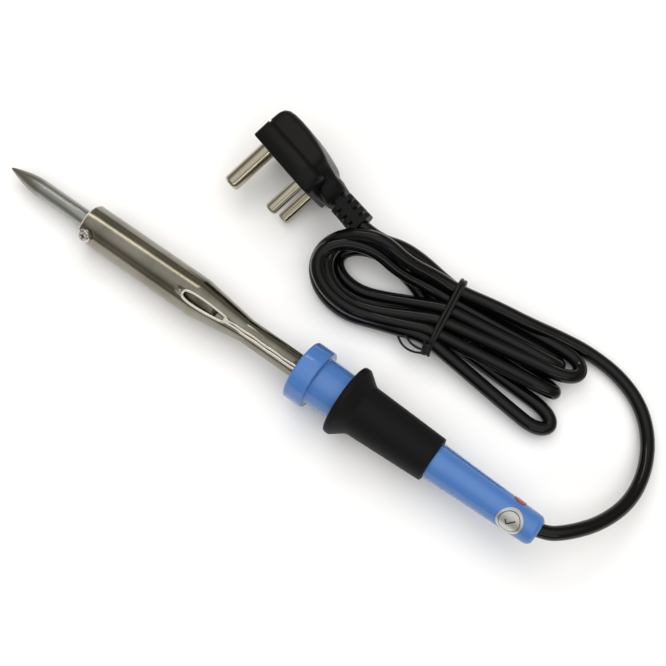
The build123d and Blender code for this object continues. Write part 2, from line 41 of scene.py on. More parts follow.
# ---- Camera, where the photograph was taken from
AZIMUTH, ELEVATION = math.radians(35.86), math.radians(74.73)
TARGET = Vector((0.01916, 0.02117, 0.0))
DISTANCE = 0.43084
LENS = 59.46
back = Vector((
    math.sin(AZIMUTH) * math.cos(ELEVATION),
    -math.cos(AZIMUTH) * math.cos(ELEVATION),
    math.sin(ELEVATION),
))
camera_data = bpy.data.cameras.new("camera")
camera_data.lens = LENS
camera_data.sensor_width = 36
camera_data.clip_start = 0.01
camera = bpy.data.objects.new("camera", camera_data)
camera.location = TARGET + back * DISTANCE
camera.rotation_mode = "QUATERNION"
camera.rotation_quaternion = (-back).to_track_quat("-Z", "Y")
bpy.context.collection.objects.link(camera)
bpy.context.scene.camera = camera

# ---- The iron's own axis: u runs from the bit's point to the cord end
TILT = math.radians(2.917013)
ALONG = Vector((math.cos(TILT), 0, math.sin(TILT)))
UPWARD = Vector((-math.sin(TILT), 0, math.cos(TILT)))
SIDEWAYS = Vector((0, -1, 0))
NOSE = Vector((-124.9525, 0, 5.818))

# ---- Stations along that axis (U) and radii about it, in mm
BIT_RADIUS = 3.6
SHANK_RADIUS = 3.5
TAPER_LENGTH = 16.0
STEP_U = 41.0
BIT_END = 98.0
MOUTH_U = 41.75
MOUTH_RADIUS = 8.0
BARREL_RADIUS = 8.1
NECK_RADIUS = 4.85
NECK_BORE = 4.25
SHOULDER_U, NECK_U = 96.0, 119.0
BARREL_END = 176.0
SLOT_ROLL = 24.0
SLOT_U, SLOT_LENGTH = 91.9, 20.6
COLLAR_U, COLLAR_RADIUS = 144.8, 12.1
GRIP_U, GRIP_FLANGE_RADIUS = 164.85, 14.3
HANDLE_END = 250.0
LABEL_U, LABEL_ROLL = 239.3, 35.0


def spot(u, roll, radius):
    """A point in metres, from its mm along the iron, roll in degrees and mm out from the axis."""
    angle = math.radians(roll)
    return (NOSE + ALONG * u + (UPWARD * math.cos(angle) + SIDEWAYS * math.sin(angle)) * radius) * MM


# ---- Materials
def surface(name, colour, metallic=0.0, roughness=0.4, vary=0.06, grain=900.0, bump=0.0, coat=0.0,
            stretch=(1, 1, 1), gloss=0.5):
    """A material whose roughness and relief follow a fine noise."""
    material = bpy.data.materials.new(name)
    material.use_nodes = True
    nodes, links = material.node_tree.nodes, material.node_tree.links
    shader = nodes["Principled BSDF"]
    shader.inputs["Base Color"].default_value = (*colour, 1)
    shader.inputs["Metallic"].default_value = metallic
    shader.inputs["Specular IOR Level"].default_value = gloss
    shader.inputs["Coat Weight"].default_value = coat
    shader.inputs["Coat Roughness"].default_value = 0.06
    place = nodes.new("ShaderNodeTexCoord")
    mapping = nodes.new("ShaderNodeMapping")
    mapping.inputs["Scale"].default_value = stretch
    mapping.inputs["Rotation"].default_value = (0, TILT, 0)
    noise = nodes.new("ShaderNodeTexNoise")
    noise.inputs["Scale"].default_value = grain
    noise.inputs["Detail"].default_value = 5
    spread = nodes.new("ShaderNodeMapRange")
    spread.inputs["To Min"].default_value = max(roughness - vary, 0.02)
    spread.inputs["To Max"].default_value = roughness + vary
    links.new(place.outputs["Object"], mapping.inputs["Vector"])
    links.new(mapping.outputs["Vector"], noise.inputs["Vector"])
    links.new(noise.outputs["Fac"], spread.inputs["Value"])
    links.new(spread.outputs["Result"], shader.inputs["Roughness"])
    if bump:
        relief = nodes.new("ShaderNodeBump")
        relief.inputs["Strength"].default_value = bump
        relief.inputs["Distance"].default_value = 0.0001
        links.new(noise.outputs["Fac"], relief.inputs["Height"])
        links.new(relief.outputs["Normal"], shader.inputs["Normal"])
    return material


def mottle(material, dark, light, scale, low=0.35, high=0.65):
    """Base colour that drifts between two tones over a broad noise."""
    nodes, links = material.node_tree.nodes, material.node_tree.links
    place = nodes.new("ShaderNodeTexCoord")
    noise = nodes.new("ShaderNodeTexNoise")
    noise.inputs["Scale"].default_value = scale
    noise.inputs["Detail"].default_value = 3
    ramp = nodes.new("ShaderNodeValToRGB")
    ramp.color_ramp.elements[0].position = low
    ramp.color_ramp.elements[0].color = (*dark, 1)
    ramp.color_ramp.elements[1].position = high
    ramp.color_ramp.elements[1].color = (*light, 1)
    links.new(place.outputs["Object"], noise.inputs["Vector"])
    links.new(noise.outputs["Fac"], ramp.inputs["Fac"])
    links.new(ramp.outputs["Color"], nodes["Principled BSDF"].inputs["Base Color"])


def steps_along_bit(material, stops, span=50):
    """Base colour by distance from the bit's point, in mm, over the first span of it."""
    nodes, links = material.node_tree.nodes, material.node_tree.links
    place = nodes.new("ShaderNodeTexCoord")
    dot = nodes.new("ShaderNodeVectorMath")
    dot.operation = "DOT_PRODUCT"
    dot.inputs[1].default_value = ALONG
    noise = nodes.new("ShaderNodeTexNoise")
    noise.inputs["Scale"].default_value = 260
    spread = nodes.new("ShaderNodeMath")
    spread.operation = "MULTIPLY_ADD"
    spread.inputs[1].default_value = 0.004
    where = nodes.new("ShaderNodeMapRange")
    start = (NOSE * MM).dot(ALONG)
    where.inputs["From Min"].default_value = start
    where.inputs["From Max"].default_value = start + span * MM
    ramp = nodes.new("ShaderNodeValToRGB")
    while len(ramp.color_ramp.elements) < len(stops):
        ramp.color_ramp.elements.new(0.5)
    for element, (distance, colour) in zip(ramp.color_ramp.elements, stops):
        element.position = distance / span
        element.color = (*colour, 1)
    links.new(place.outputs["Object"], dot.inputs[0])
    links.new(noise.outputs["Fac"], spread.inputs[0])
    links.new(dot.outputs["Value"], spread.inputs[2])
    links.new(spread.outputs["Value"], where.inputs["Value"])
    links.new(where.outputs["Result"], ramp.inputs["Fac"])
    links.new(ramp.outputs["Color"], nodes["Principled BSDF"].inputs["Base Color"])


bit_metal = surface("bit_plating", (0.4, 0.4, 0.36), 1.0, 0.36, 0.07, 700, 0.25)
steps_along_bit(bit_metal, [
    (2.0, (0.30, 0.24, 0.15)), (6.0, (0.31, 0.30, 0.25)), (17.0, (0.30, 0.295, 0.26)),
    (20.0, (0.37, 0.38, 0.36)), (44.0, (0.37, 0.38, 0.36)),
])
barrel_metal = surface("barrel_plating", (0.28, 0.26, 0.22), 1.0, 0.19, 0.05, 500, 0.12,
                       stretch=(0.1, 1, 1))
mottle(barrel_metal, (0.235, 0.22, 0.175), (0.30, 0.28, 0.235), 90)
# The slot rim, seam lips and mouth rim are the barrel's own plating. Here they are painted far lighter and
# only partly metallic, as a painted highlight for the bright reflected outline along these edges.
painted_highlight_edge = surface("rolled_edge_painted_highlight", (0.80, 0.76, 0.68), 0.7, 0.16, 0.05, 900, 0.1)
screw_metal = surface("screw_plating", (0.66, 0.64, 0.60), 1.0, 0.16, 0.05, 900, 0.15)
bush_metal = surface("bush_steel", (0.30, 0.29, 0.27), 1.0, 0.38, 0.08, 800, 0.2)
sheath_metal = surface("sheath_steel", (0.24, 0.23, 0.18), 1.0, 0.45, 0.1, 600, 0.3)
mottle(sheath_metal, (0.16, 0.15, 0.11), (0.30, 0.29, 0.23), 160)
ceramic = surface("ceramic", (0.62, 0.58, 0.50), 0, 0.7, 0.08, 1200, 0.2)
mica = surface("mica", (0.42, 0.36, 0.25), 0, 0.45, 0.1, 500, 0.3)
heater_metal = surface("heater_wire", (0.32, 0.30, 0.28), 1.0, 0.4, 0.08, 900, 0.2)
blue = surface("handle_blue", (0.060, 0.17, 0.46), 0, 0.20, 0.02, 900, 0.06, coat=0.35)
mottle(blue, (0.060, 0.172, 0.455), (0.066, 0.184, 0.48), 45)
grip_black = surface("grip_rubber", (0.0045, 0.0048, 0.005), 0, 0.52, 0.08, 1500, 0.45, gloss=0.14)
cord_black = surface("cord_jacket", (0.002, 0.002, 0.002), 0, 0.13, 0.04, 650, 0.08, coat=0.15,
                     gloss=0.25)
plug_black = surface("plug_moulding", (0.004, 0.004, 0.004), 0, 0.36, 0.07, 1700, 0.3, gloss=0.16)
relief_black = surface("relief_moulding", (0.004, 0.004, 0.004), 0, 0.38, 0.08, 1500, 0.3, gloss=0.18)
pin_metal = surface("pin_plating", (0.50, 0.46, 0.36), 1.0, 0.15, 0.05, 700, 0.15)
tie_black = surface("tie_coat", (0.006, 0.006, 0.006), 0, 0.30, 0.06, 1500, 0.2, gloss=0.35)
red_film = surface("red_film", (0.25, 0.018, 0.028), 0, 0.3, 0.05, 900, 0.15, coat=0.4)
sleeving = surface("sleeving", (0.45, 0.42, 0.34), 0, 0.6, 0.08, 1300, 0.3)
core_red = surface("core_live", (0.35, 0.02, 0.015), 0, 0.45, 0.06, 900, 0.1)
core_dark = surface("core_neutral", (0.015, 0.015, 0.015), 0, 0.45, 0.06, 900, 0.1)
core_green = surface("core_earth", (0.03, 0.25, 0.05), 0, 0.45, 0.06, 900, 0.1)
foil = surface("label_foil", (0.62, 0.62, 0.60), 0.85, 0.36, 0.08, 700, 0.15)


def tick_on(material, centre, right, up, ring=3.9, stroke=0.27, dark=(0.05, 0.055, 0.07)):
    """Draws a plain tick inside a ring, in mm from the centre along right and up."""
    nodes, links = material.node_tree.nodes, material.node_tree.links
    place = nodes.new("ShaderNodeTexCoord")

    def axis(direction):
        dot = nodes.new("ShaderNodeVectorMath")
        dot.operation = "DOT_PRODUCT"
        dot.inputs[1].default_value = direction
        shift = nodes.new("ShaderNodeMath")
        shift.operation = "SUBTRACT"
        shift.inputs[1].default_value = centre.dot(direction)
        scale = nodes.new("ShaderNodeMath")
        scale.operation = "MULTIPLY"
        scale.inputs[1].default_value = 1000
        links.new(place.outputs["Object"], dot.inputs[0])
        links.new(dot.outputs["Value"], shift.inputs[0])
        links.new(shift.outputs["Value"], scale.inputs[0])
        return scale.outputs["Value"]

    def math_node(operation, first, second):
        node = nodes.new("ShaderNodeMath")
        node.operation = operation
        for socket, value in zip(node.inputs, (first, second)):
            if isinstance(value, (int, float)):
                socket.default_value = value
            else:
                links.new(value, socket)
        return node.outputs["Value"]

    x, y = axis(right), axis(up)

    def bar(x0, y0, x1, y1, half_width):
        run = math.hypot(x1 - x0, y1 - y0)
        cx, cy = (x1 - x0) / run, (y1 - y0) / run
        dx, dy = math_node("SUBTRACT", x, (x0 + x1) / 2), math_node("SUBTRACT", y, (y0 + y1) / 2)
        forward = math_node("ADD", math_node("MULTIPLY", dx, cx), math_node("MULTIPLY", dy, cy))
        across = math_node("SUBTRACT", math_node("MULTIPLY", dy, cx), math_node("MULTIPLY", dx, cy))
        in_run = math_node("LESS_THAN", math_node("ABSOLUTE", forward, 0), run / 2)
        in_width = math_node("LESS_THAN", math_node("ABSOLUTE", across, 0), half_width)
        return math_node("MULTIPLY", in_run, in_width)

    tick = math_node("MAXIMUM", bar(-1.7, 0.2, -0.45, -1.3, stroke), bar(-0.6, -1.35, 1.8, 1.5, stroke))
    squares = math_node("ADD", math_node("MULTIPLY", x, x), math_node("MULTIPLY", y, y))
    distance = math_node("SQRT", squares, 0)
    edge = math_node("LESS_THAN", math_node("ABSOLUTE", math_node("SUBTRACT", distance, ring), 0), 0.14)
    mask = math_node("MAXIMUM", tick, edge)
    mix = nodes.new("ShaderNodeMix")
    mix.data_type = "RGBA"
    mix.inputs["A"].default_value = (0.62, 0.62, 0.60, 1)
    mix.inputs["B"].default_value = (*dark, 1)
    links.new(mask, mix.inputs["Factor"])
    links.new(mix.outputs["Result"], nodes["Principled BSDF"].inputs["Base Color"])


label_angle = math.radians(LABEL_ROLL)
label_up = UPWARD * math.sin(label_angle) - SIDEWAYS * math.cos(label_angle)
tick_on(foil, spot(LABEL_U, LABEL_ROLL, 6.3), ALONG, label_up)

FINISHES = {
    "tip": bit_metal, "tip_screw": screw_metal, "tip_screw_washer": screw_metal, "front_bush": bush_metal,
    "barrel": barrel_metal, "element_former": ceramic, "element_mica_inner": mica,
    "heater_winding": heater_metal, "element_mica_outer": mica, "element_sheath": sheath_metal,
    "element_rear_insulator": ceramic, "heater_lead_live": heater_metal,
    "heater_lead_neutral": heater_metal, "lead_beads": ceramic, "neck_sleeve": ceramic,
    "neck_screws": screw_metal, "earth_tag": bush_metal, "earth_rivet": bush_metal,
    "handle_shell": blue, "grip_sleeve": grip_black,
    "crimp_splice_live": bush_metal, "crimp_splice_neutral": bush_metal,
    "splice_sleeve_live": sleeving, "splice_sleeve_neutral": sleeving, "mains_core_live": core_red,
    "mains_core_neutral": core_dark, "mains_core_earth": core_green, "cord_clip": sleeving,
    "cord_clip_screw": screw_metal, "cord_inner_end": cord_black, "round_label": foil, "red_dot": red_film,
    "plug_base": plug_black, "plug_cover": plug_black, "plug_cores": core_red, "plug_pin_earth": pin_metal,
    "plug_pin_live": pin_metal, "plug_pin_neutral": pin_metal, "plug_strain_relief": relief_black,
}
for node, material in FINISHES.items():
    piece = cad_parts[node]
    if piece.material_slots:
        for material_slot in piece.material_slots:
            material_slot.material = material
    else:
        piece.data.materials.append(material)


def add_mesh(name, vertices, faces, material):
    """A smooth-shaded piece in the scene, from points in metres."""
    mesh = bpy.data.meshes.new(name)
    mesh.from_pydata(vertices, [], faces)
    mesh.update()
    for polygon in mesh.polygons:
        polygon.use_smooth = True
    piece = bpy.data.objects.new(name, mesh)
    bpy.context.collection.objects.link(piece)
    mesh.materials.append(material)
    return piece


def rounded(points, radii, steps=6):
    """A polyline whose inner corners are rounded, each by its own radius. 0 leaves a corner sharp."""
    line = [points[0]]
    for before, corner, after, radius in zip(points, points[1:], points[2:], radii):
        a, c, b = Vector(before), Vector(corner), Vector(after)
        to_a, to_b = (a - c).normalized(), (b - c).normalized()
        half = to_a.angle(to_b) / 2
        if radius <= 0 or half > 1.55:
            line.append(corner)
            continue
        reach = min(radius / math.tan(half), (a - c).length * 0.49, (b - c).length * 0.49)
        start, end = c + to_a * reach, c + to_b * reach
        for i in range(steps + 1):
            t = i / steps
            line.append(tuple(start.lerp(c, t).lerp(c.lerp(end, t), t)))
    line.append(points[-1])
    return line


def turned(name, profile, material, segments=128, closed=False, shift=None):
    """A surface of revolution about the iron's axis. shift(u, roll, radius) moves a point out, in mm."""
    vertices, faces = [], []
    for u, radius in profile:
        for k in range(segments):
            roll = 360 * k / segments
            extra = shift(u, roll, radius) if shift else 0
            vertices.append(spot(u, roll, radius + extra))
    rows = len(profile)
    for i in range(rows if closed else rows - 1):
        j = (i + 1) % rows
        for k in range(segments):
            n = (k + 1) % segments
            faces.append((i * segments + k, i * segments + n, j * segments + n, j * segments + k))
    return add_mesh(name, vertices, faces, material)


# ---- Bit
POINT_U, POINT_RADIUS = 0.5, 0.52
bit_profile = [(0.0, 0.02), (0.08, 0.22), (0.25, 0.42), (POINT_U, POINT_RADIUS)]
for i in range(1, 17):
    t = i / 16
    bulge = math.sin(t * math.pi / 2) ** 0.93
    bit_profile.append((
        POINT_U + (TAPER_LENGTH - POINT_U) * t,
        POINT_RADIUS + (BIT_RADIUS - POINT_RADIUS) * bulge,
    ))
bit_profile += [(20, BIT_RADIUS), (30, BIT_RADIUS), (STEP_U - 0.2, BIT_RADIUS), (STEP_U, SHANK_RADIUS)]
bit_profile += [(60, SHANK_RADIUS), (BIT_END - 0.5, SHANK_RADIUS), (BIT_END, 3.0), (BIT_END, 0.02)]
bit = turned("bit_rod", bit_profile, bit_metal)
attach(bit, "bit")
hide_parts("tip")

# ---- Barrel: thin rolled tube, slot with turned-in edges, seam along the neck
SEAM_U = 108.0


def seam(u, roll, radius):
    """How far the seam's groove and its two lips move the barrel's outer skin, in mm."""
    if u < SEAM_U or radius < 4.5:
        return 0
    gap_angle = (roll - SLOT_ROLL + 180) % 360 - 180
    across = math.radians(gap_angle) * radius
    grow = min((u - SEAM_U) / 8, 1)
    groove = -0.55 * math.exp(-(across / 0.3) ** 2)
    lips = 0.24 * math.exp(-((abs(across) - 0.85) / 0.38) ** 2)
    return grow * (groove + lips * (1 + 0.3 * math.sin(u * 1.7) * math.sin(u * 0.61)))


outer = rounded(
    [(43.0, 7.05), (MOUTH_U, 7.1), (MOUTH_U, MOUTH_RADIUS), (SHOULDER_U, BARREL_RADIUS),
     (NECK_U, NECK_RADIUS), (BARREL_END, NECK_RADIUS)],
    [0.5, 0.9, 9, 9], 8,
)
STRAIGHT_U = 46
mouth_end = [p for p in outer if p[0] < STRAIGHT_U]
straight = [(STRAIGHT_U + i * 2.0, MOUTH_RADIUS + 0.1 * (i * 2.0 + 4) / 54) for i in range(22)]
neck_end = [p for p in outer if p[0] > 90]
inner = [(BARREL_END, NECK_BORE), (NECK_U, NECK_BORE), (SHOULDER_U, 7.5), (43.2, 7.4)]
barrel = turned("barrel_tube", mouth_end + straight + neck_end + inner, barrel_metal, 256, True, seam)


def slot_outline(steps, width):
    """Teardrop: round front end, sides that close to a point towards the handle. Gives (u, across)."""
    points = []
    for i in range(steps):
        angle = 2 * math.pi * i / steps
        t = (1 - math.cos(angle)) / 2
        u = SLOT_U + SLOT_LENGTH * t
        across = width * math.sin(angle) * (1 - 0.42 * t) * (abs(math.sin(angle)) + 0.001) ** -0.38
        points.append((u, across))
    return points


def barrel_radius(u, start=92, end=122):
    """The barrel's outer radius, which eases down to the neck between start and end."""
    t = min(max((u - start) / (end - start), 0), 1)
    return BARREL_RADIUS - (BARREL_RADIUS - NECK_RADIUS) * (t * t * (3 - 2 * t)) ** 0.98


cut = slot_outline(48, 2.2)
slot_angle = math.radians(SLOT_ROLL)
round_way = SIDEWAYS * math.cos(slot_angle) - UPWARD * math.sin(slot_angle)
cut_vertices = [spot(u, SLOT_ROLL, r) + round_way * across * MM for r in (2.0, 12.0) for u, across in cut]
count = len(cut)
cut_faces = [tuple(range(count))[::-1], tuple(range(count, 2 * count))]
cut_faces += [(i, (i + 1) % count, count + (i + 1) % count, count + i) for i in range(count)]
cutter = add_mesh("slot_cutter", cut_vertices, cut_faces, barrel_metal)
hole = barrel.modifiers.new("slot", "BOOLEAN")
hole.operation = "DIFFERENCE"
hole.solver = "EXACT"
hole.object = cutter
bpy.context.view_layer.objects.active = barrel
barrel.select_set(True)
bpy.ops.object.modifier_apply(modifier="slot")
bpy.data.objects.remove(cutter)
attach(barrel, "iron")
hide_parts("barrel")


def cord_curve(name, points, radius, material, cyclic=False):
    """A round wire or cord along a smooth spline, in metres."""
    curve = bpy.data.curves.new(name, "CURVE")
    curve.dimensions = "3D"
    curve.bevel_depth = radius
    curve.bevel_resolution = 8
    curve.resolution_u = 10
    curve.use_fill_caps = True
    spline = curve.splines.new("NURBS")
    spline.points.add(len(points) - 1)
    for control, point in zip(spline.points, points):
        control.co = (*point, 1)
    spline.order_u = 3
    spline.use_cyclic_u = cyclic
    spline.use_endpoint_u = not cyclic
    curve.materials.append(material)
    piece = bpy.data.objects.new(name, curve)
    bpy.context.collection.objects.link(piece)
    return piece


# The slot rim, the seam lips and the mouth rim below use the painted-highlight edge material.
rim_points = []
for u, across in slot_outline(40, 2.62):
    r = barrel_radius(u) - 0.22
    rim_points.append(spot(u, SLOT_ROLL + math.degrees(across / r), r))
rim = cord_curve("slot_rim", rim_points, 0.00055, painted_highlight_edge, cyclic=True)
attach(rim, "iron")
for number, side in ((1, -1), (2, 1)):
    lip_points = []
    for i in range(20):
        u = 110.5 + i * 2.0
        across = side * (0.62 + 0.10 * math.sin(i * 1.3 + side)) * min(1, 0.4 + i * 0.3)
        r = barrel_radius(u) - 0.14 + 0.08 * math.sin(i * 0.9 + 2 * side)
        lip_points.append(spot(u, SLOT_ROLL + math.degrees(across / r), r))
    lip = cord_curve(f"seam_edge_{number}", lip_points, 0.00050, painted_highlight_edge)
    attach(lip, "iron")

rim_ring = [spot(MOUTH_U + 0.3, 15 * k, MOUTH_RADIUS - 0.08) for k in range(24)]
mouth = cord_curve("mouth_rim", rim_ring, 0.00030, painted_highlight_edge, cyclic=True)
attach(mouth, "iron")

# ---- Handle and grip
handle_profile = rounded(
    [(146, 5.05), (COLLAR_U, 5.05), (COLLAR_U, COLLAR_RADIUS), (153.1, COLLAR_RADIUS), (153.1, 9.65),
     (164.8, 9.5), (166.0, 8.2), (204.0, 7.2), (206.0, 7.36), (222, 6.75), (248.6, 6.0),
     (HANDLE_END, 4.3), (249.0, 3.6), (243.0, 3.05)],
    [0.2, 1.1, 0.9, 0.7, 0.3, 0.3, 0.3, 0.3, 12, 2.6, 1.0, 1.2], 7,
)
handle_bore = [(243, 2.9), (200, 2.9), (180, 5.0)]
handle = turned("handle_moulding", handle_profile + handle_bore, blue, 144, True)
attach(handle, "iron")
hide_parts("handle_shell")

grip_profile = rounded(
    [(166.5, 9.3), (GRIP_U, 9.7), (GRIP_U, GRIP_FLANGE_RADIUS), (167.4, GRIP_FLANGE_RADIUS), (172.6, 10.35),
     (204.6, 8.97), (204.9, 7.6), (203.0, 7.4)],
    [0.3, 1.2, 1.2, 3.0, 0.8, 0.3], 7,
)
grip_bore = [(203, 7.25), (166.5, 8.3)]
grip = turned("grip_moulding", grip_profile + grip_bore, grip_black, 144, True)
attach(grip, "iron")
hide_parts("grip_sleeve")

# ---- Cord: one length from the handle through the tied hank to the plug
CORD = 5.5
lead_route = [
    (117.73, 0, 18.18), (126.0, 0.5, 18.7), (133.8, 6.8, 17.6), (142.0, 17.4, 14.0), (146.8, 30.8, 10.0),
    (145.9, 44.6, 6.4), (140.6, 57.0, 3.8), (131.4, 66.3, 2.9), (118.8, 71.2, 2.8), (104.5, 72.2, 2.8),
    (91.5, 70.0, 4.6), (80.0, 66.5, 8.2), (66.0, 64.2, 9.8),
]
TIE_X = 50.0
LEAN = math.radians(9)
SHRINK = 0.955  # how far out the spline runs, as a share of its control points, round a loop
Turn = namedtuple("Turn", "enter swell centre reach half low high lag leave tip_x top back_way")
# A turn comes out of the tie at enter (y, z), swells sideways, and loops round centre, with reach and half
# as its half axes and z between low and high, shifted round the loop by lag degrees. It goes back through
# the tie at leave (y, z) to a hairpin whose tip is at tip_x. top and back_way are its two runs' (y, z).
turns = [
    Turn(enter=(60.8, 10.0), swell=1.0, centre=(18.5, 43.4), reach=20.5, half=13.4, low=3.0, high=22.6,
         lag=10, leave=(38.8, 8.3), tip_x=108.8, top=(34.2, 4.6), back_way=(43.2, 3.2)),
    Turn(enter=(44.9, 3.1), swell=4.2, centre=(17.0, 48.8), reach=13.6, half=8.2, low=3.0, high=4.6,
         lag=0, leave=(52.6, 9.4), tip_x=99.0, top=(58.2, 8.6), back_way=(62.0, 2.9)),
    Turn(enter=(56.9, 7.0), swell=1.0, centre=(18.0, 42.2), reach=18.6, half=11.2, low=7.0, high=18.0,
         lag=-35, leave=(41.8, 9.3), tip_x=103.2, top=(48.4, 8.4), back_way=(52.0, 2.8)),
    Turn(enter=(51.5, 3.1), swell=2.6, centre=(18.0, 45.2), reach=16.6, half=11.4, low=6.6, high=19.6,
         lag=-4, leave=(47.1, 9.6), tip_x=107.0, top=(56.4, 8.9), back_way=(67.0, 4.4)),
]
tail_route = [
    (TIE_X, 62.4, 4.4), (42.0, 62.4, 7.2), (32.0, 62.8, 10.8), (23.0, 61.6, 14.4), (14.6, 57.6, 17.3),
    (5.89, 58.56, 17.64),
]


def loop_points(turn):
    """The turn's loop at the plug's end of the hank, from the tie and back to it."""
    arc = []
    first = 55
    for degrees in range(first, 301, 35):
        a = math.radians(degrees)
        x, y = turn.reach / SHRINK * math.cos(a), turn.half / SHRINK * math.sin(a)
        z = (turn.low + turn.high) / 2 + (turn.high - turn.low) / 2 * math.sin(a + math.radians(turn.lag))
        if degrees == first:
            z += (turn.enter[1] - z) * 0.35
        arc.append(Vector((
            turn.centre[0] + x * math.cos(LEAN) - y * math.sin(LEAN),
            turn.centre[1] + x * math.sin(LEAN) + y * math.cos(LEAN),
            z,
        )))
    way_in, way_out = Vector((TIE_X, *turn.enter)), Vector((TIE_X, *turn.leave))
    bulge = way_in.lerp(arc[0], 0.45) + Vector((0, turn.swell, -1.0))
    return [way_in, bulge, *arc, arc[-1].lerp(way_out, 0.55), way_out]


def hairpin_points(turn, next_enter):
    """The turn's hairpin at the other end of the hank, up to where the next turn crosses the tie."""
    way_out, tip_run = Vector((TIE_X, *turn.leave)), turn.tip_x - 7
    points = [way_out.lerp(Vector((tip_run, *turn.top)), t) for t in (0.27, 0.54, 0.8)]
    middle = [(a + b) / 2 for a, b in zip(turn.top, turn.back_way)]
    points += [Vector((turn.tip_x - 5, *turn.top)), Vector((turn.tip_x, *middle)),
               Vector((turn.tip_x - 5, *turn.back_way))]
    way_in = Vector((TIE_X, *next_enter))
    return points + [Vector((tip_run, *turn.back_way)).lerp(way_in, t) for t in (0.25, 0.5, 0.76)]


route = [Vector(p) for p in lead_route]
for turn, next_enter in zip(turns, [later.enter for later in turns[1:]] + [(62.6, 4.4)]):
    route += loop_points(turn) + hairpin_points(turn, next_enter)
route += [Vector(p) for p in tail_route]
cord = cord_curve("mains_cord", [p * MM for p in route], CORD / 2 * MM, cord_black)
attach(cord, "iron")
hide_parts("cord_lead", "cord_hank", "cord_tail")

# ---- Plug moulding: base with a parting step, crowned cover that narrows to the neck
PLUG = Vector((-21.6, 58.1, 15.61))
TO_CORD = Vector((0.96815, -0.25038, 0))
PIN_WAY = Vector((-0.2413, -0.9329, -0.2674)).normalized()
PLUG_UP = PIN_WAY.cross(TO_CORD)


def in_plug(x, y, depth):
    """A point in metres: towards the cord, up, and behind the pin face, in mm."""
    return (PLUG + TO_CORD * x + PLUG_UP * y - PIN_WAY * depth) * MM


def base_outline(inset, earth_end=-27.0, cord_end=6.6):
    """The base seen from its pins, with rounded corners, drawn in by inset."""
    narrow, wide, corner = 11 - inset, 16.2 - inset, 15.6 - inset
    left, right = earth_end + inset, cord_end - inset
    corners = [
        (left, 0), (left, narrow), (-1, wide), (right, corner),
        (right, -corner), (-1, -wide), (left, -narrow), (left, 0),
    ]
    return rounded(corners, [2.4, 4, 5.2 - inset, 5.2 - inset, 4, 2.4], 7)[:-1]


def loft(name, rings, material):
    """Joins rings of points, and closes the first and last."""
    size = len(rings[0])
    faces = [tuple(range(size))[::-1], tuple(range((len(rings) - 1) * size, len(rings) * size))]
    for row in range(len(rings) - 1):
        for k in range(size):
            n = (k + 1) % size
            faces.append((row * size + k, row * size + n, (row + 1) * size + n, (row + 1) * size + k))
    return add_mesh(name, [p for one in rings for p in one], faces, material)


BASE_STEPS = (  # inset, depth: a broken front edge, the side wall, then the groove at the parting
    (2.0, 0.0), (0.5, 0.0), (0.15, 0.15), (0.0, 0.5), (0.0, 7.5), (0.2, 7.75), (0.45, 7.85), (0.5, 9.0),
    (2.0, 9.0),
)
base = loft("plug_base_moulding", [
    [in_plug(x, y, depth) for x, y in base_outline(inset)] for inset, depth in BASE_STEPS
], plug_black)
COVER_SECTIONS = (  # x, half width, front and back depth, rounding at the back and front, side taper
    (-26.9, 8.8, 8.7, 12.6, 1.9, 0.3, 0.6), (-26.7, 9.8, 8.7, 14.2, 2.6, 0.3, 0.8),
    (-26.0, 10.5, 8.7, 15.6, 3.2, 0.3, 1.2), (-24.6, 10.9, 8.7, 16.6, 3.5, 0.3, 1.5),
    (-22.0, 11.4, 8.7, 17.1, 3.6, 0.3, 1.6), (-18.0, 12.2, 8.7, 17.3, 3.6, 0.3, 1.7),
    (-13.0, 13.2, 8.7, 17.2, 3.6, 0.3, 1.7), (-8.0, 14.2, 8.7, 16.7, 3.6, 0.3, 1.6),
    (-4.0, 15.0, 8.7, 16.0, 3.2, 0.3, 1.4), (-1.4, 15.5, 8.7, 15.4, 2.6, 0.3, 1.2),
    (0.2, 15.5, 8.7, 14.9, 2.4, 0.3, 1.1), (1.2, 14.6, 8.7, 14.5, 2.4, 0.3, 1.0),
    (2.1, 13.0, 8.7, 14.1, 2.4, 0.3, 0.9), (3.0, 11.2, 8.6, 13.8, 2.4, 0.4, 0.8),
    (4.2, 9.8, 8.5, 13.5, 2.5, 0.6, 0.6), (5.6, 8.7, 8.4, 13.2, 2.8, 0.8, 0.5),
    (6.6, 8.1, 5.0, 13.0, 2.9, 1.6, 0.4), (8.0, 7.5, 3.4, 12.9, 3.0, 2.4, 0.3),
    (12.4, 6.3, 2.9, 12.6, 3.0, 3.0, 0.2),
)
cover_rings = []
for x, half, low, high, back_round, front_round, taper in COVER_SECTIONS:
    corners = [(0, low), (half, low), (half - taper, high), (taper - half, high), (-half, low), (0, low)]
    section_line = rounded(corners, [front_round, back_round, back_round, front_round], 8)[:-1]
    cover_rings.append([in_plug(x, y, depth) for y, depth in section_line])
cover = loft("plug_cover_moulding", cover_rings, plug_black)
for piece, node in ((base, "plug_base"), (cover, "plug_cover")):
    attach(piece, "iron")
    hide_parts(node)

